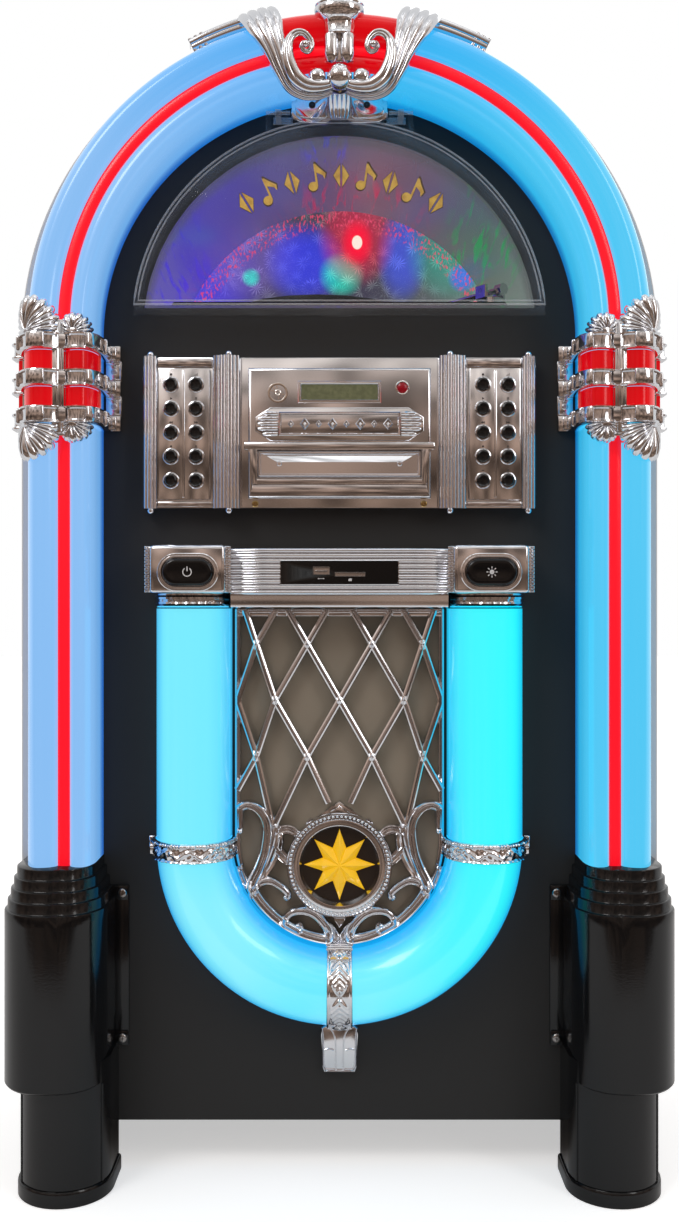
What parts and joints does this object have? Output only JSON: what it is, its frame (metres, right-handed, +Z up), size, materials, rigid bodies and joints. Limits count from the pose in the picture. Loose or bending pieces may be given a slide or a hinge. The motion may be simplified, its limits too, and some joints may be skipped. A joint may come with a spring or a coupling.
{
  "type": "jukebox",
  "caption": "Floor-standing arched jukebox with lit tubes, lift-up window over a turntable, disc drawer, keys and chrome lattice grille.",
  "frame": {"origin": "centre of the footprint on the floor", "axes": "+Z up, front faces -Y, +X to the right as seen from the front"},
  "size_m": [0.578, 0.3163, 1.0205],
  "materials": {
    "black_plastic": "semi-gloss black",
    "black_vinyl": "board wrapped in satin black wood-grain vinyl",
    "blue_light": "translucent blue, lit from inside",
    "chrome": "bright chrome plating",
    "clear": "clear acrylic",
    "cyan_light": "translucent cyan, lit from inside",
    "dark_board": "plain dark fibreboard",
    "display": "olive display window",
    "foil": "reflective foil with a fine glitter",
    "gold": "satin gold",
    "red_lens": "dark red lens",
    "red_light": "translucent red, lit from inside",
    "rubber": "matt black",
    "woven_mesh": "woven speaker cloth"
  },
  "bodies": {
    "cabinet": {"alcove_liner": "foil", "arch_tube": "blue_light", "back_panel": "dark_board", "cabinet_shell": "black_vinyl", "cd_deck": "dark_board", "cd_fascia": "chrome", "control_bar": "chrome", "crown": "chrome", "crown_insert": "red_light", "front_baffle": "black_vinyl", "grille": "chrome", "grille_mesh": "woven_mesh", "ir_window": "red_lens", "lcd_window": "display", "left_base_shroud": "black_plastic", "left_clip": "chrome", "left_collar": "chrome", "left_collar_insert": "red_light", "left_leg": "black_plastic", "left_pillar_tube": "blue_light", "medallion_star": "gold", "port_panel": "black_plastic", "right_base_shroud": "black_plastic", "right_clip": "chrome", "right_collar": "chrome", "right_collar_insert": "red_light", "right_leg": "black_plastic", "right_pillar_tube": "cyan_light", "speaker": "black_plastic", "stripe": "red_light", "turntable_plinth": "black_plastic", "u_tube": "cyan_light", "window_hinge": "chrome"},
    "window_cover": {"window_cover": "clear"},
    "platter": {"platter": "rubber"},
    "tonearm_base": {"tonearm_base": "chrome"},
    "tonearm": {"tonearm": "chrome"},
    "cd_tray": {"cd_tray": "chrome"},
    "power_button": {"power_button": "black_plastic"},
    "light_button": {"light_button": "black_plastic"},
    "key_left_1": {"key_left_1": "black_plastic"},
    "key_left_2": {"key_left_2": "black_plastic"},
    "key_left_3": {"key_left_3": "black_plastic"},
    "key_left_4": {"key_left_4": "black_plastic"},
    "key_left_5": {"key_left_5": "black_plastic"},
    "key_left_6": {"key_left_6": "black_plastic"},
    "key_left_7": {"key_left_7": "black_plastic"},
    "key_left_8": {"key_left_8": "black_plastic"},
    "key_left_9": {"key_left_9": "black_plastic"},
    "key_left_10": {"key_left_10": "black_plastic"},
    "key_right_1": {"key_right_1": "black_plastic"},
    "key_right_2": {"key_right_2": "black_plastic"},
    "key_right_3": {"key_right_3": "black_plastic"},
    "key_right_4": {"key_right_4": "black_plastic"},
    "key_right_5": {"key_right_5": "black_plastic"},
    "key_right_6": {"key_right_6": "black_plastic"},
    "key_right_7": {"key_right_7": "black_plastic"},
    "key_right_8": {"key_right_8": "black_plastic"},
    "key_right_9": {"key_right_9": "black_plastic"},
    "key_right_10": {"key_right_10": "black_plastic"}
  },
  "joints": [
    {"name": "cover_hinge", "type": "hinge", "parent": "cabinet", "child": "window_cover", "pos_m": [0, -0.098, 0.9275], "axis": [-1, 0, 0], "range_deg": [0, 64]},
    {"name": "platter_spin", "type": "hinge", "parent": "cabinet", "child": "platter", "pos_m": [-0.02, 0.025, 0.7733], "axis": [0, 0, 1], "continuous": true},
    {"name": "tonearm_swing", "type": "hinge", "parent": "cabinet", "child": "tonearm_base", "pos_m": [0.141, -0.018, 0.7713], "axis": [0, 0, 1], "range_deg": [0, 19]},
    {"name": "tonearm_lift", "type": "hinge", "parent": "tonearm_base", "child": "tonearm", "pos_m": [0.141, -0.018, 0.7913], "axis": [0.8038, 0.5949, 0], "range_deg": [0, 5.5]},
    {"name": "tray_slide", "type": "slide", "parent": "cabinet", "child": "cd_tray", "axis": [0, -1, 0], "range_m": [0, 0.125]},
    {"name": "power_press", "type": "slide", "parent": "cabinet", "child": "power_button", "axis": [0, 1, 0], "range_m": [0, 0.003], "stiffness_N_per_m": 400},
    {"name": "light_press", "type": "slide", "parent": "cabinet", "child": "light_button", "axis": [0, 1, 0], "range_m": [0, 0.003], "stiffness_N_per_m": 400},
    {"name": "key_left_1_press", "type": "slide", "parent": "cabinet", "child": "key_left_1", "axis": [0, 1, 0], "range_m": [0, 0.0015], "stiffness_N_per_m": 400},
    {"name": "key_left_2_press", "type": "slide", "parent": "cabinet", "child": "key_left_2", "axis": [0, 1, 0], "range_m": [0, 0.0015], "stiffness_N_per_m": 400},
    {"name": "key_left_3_press", "type": "slide", "parent": "cabinet", "child": "key_left_3", "axis": [0, 1, 0], "range_m": [0, 0.0015], "stiffness_N_per_m": 400},
    {"name": "key_left_4_press", "type": "slide", "parent": "cabinet", "child": "key_left_4", "axis": [0, 1, 0], "range_m": [0, 0.0015], "stiffness_N_per_m": 400},
    {"name": "key_left_5_press", "type": "slide", "parent": "cabinet", "child": "key_left_5", "axis": [0, 1, 0], "range_m": [0, 0.0015], "stiffness_N_per_m": 400},
    {"name": "key_left_6_press", "type": "slide", "parent": "cabinet", "child": "key_left_6", "axis": [0, 1, 0], "range_m": [0, 0.0015], "stiffness_N_per_m": 400},
    {"name": "key_left_7_press", "type": "slide", "parent": "cabinet", "child": "key_left_7", "axis": [0, 1, 0], "range_m": [0, 0.0015], "stiffness_N_per_m": 400},
    {"name": "key_left_8_press", "type": "slide", "parent": "cabinet", "child": "key_left_8", "axis": [0, 1, 0], "range_m": [0, 0.0015], "stiffness_N_per_m": 400},
    {"name": "key_left_9_press", "type": "slide", "parent": "cabinet", "child": "key_left_9", "axis": [0, 1, 0], "range_m": [0, 0.0015], "stiffness_N_per_m": 400},
    {"name": "key_left_10_press", "type": "slide", "parent": "cabinet", "child": "key_left_10", "axis": [0, 1, 0], "range_m": [0, 0.0015], "stiffness_N_per_m": 400},
    {"name": "key_right_1_press", "type": "slide", "parent": "cabinet", "child": "key_right_1", "axis": [0, 1, 0], "range_m": [0, 0.0015], "stiffness_N_per_m": 400},
    {"name": "key_right_2_press", "type": "slide", "parent": "cabinet", "child": "key_right_2", "axis": [0, 1, 0], "range_m": [0, 0.0015], "stiffness_N_per_m": 400},
    {"name": "key_right_3_press", "type": "slide", "parent": "cabinet", "child": "key_right_3", "axis": [0, 1, 0], "range_m": [0, 0.0015], "stiffness_N_per_m": 400},
    {"name": "key_right_4_press", "type": "slide", "parent": "cabinet", "child": "key_right_4", "axis": [0, 1, 0], "range_m": [0, 0.0015], "stiffness_N_per_m": 400},
    {"name": "key_right_5_press", "type": "slide", "parent": "cabinet", "child": "key_right_5", "axis": [0, 1, 0], "range_m": [0, 0.0015], "stiffness_N_per_m": 400},
    {"name": "key_right_6_press", "type": "slide", "parent": "cabinet", "child": "key_right_6", "axis": [0, 1, 0], "range_m": [0, 0.0015], "stiffness_N_per_m": 400},
    {"name": "key_right_7_press", "type": "slide", "parent": "cabinet", "child": "key_right_7", "axis": [0, 1, 0], "range_m": [0, 0.0015], "stiffness_N_per_m": 400},
    {"name": "key_right_8_press", "type": "slide", "parent": "cabinet", "child": "key_right_8", "axis": [0, 1, 0], "range_m": [0, 0.0015], "stiffness_N_per_m": 400},
    {"name": "key_right_9_press", "type": "slide", "parent": "cabinet", "child": "key_right_9", "axis": [0, 1, 0], "range_m": [0, 0.0015], "stiffness_N_per_m": 400},
    {"name": "key_right_10_press", "type": "slide", "parent": "cabinet", "child": "key_right_10", "axis": [0, 1, 0], "range_m": [0, 0.0015], "stiffness_N_per_m": 400}
  ]
}
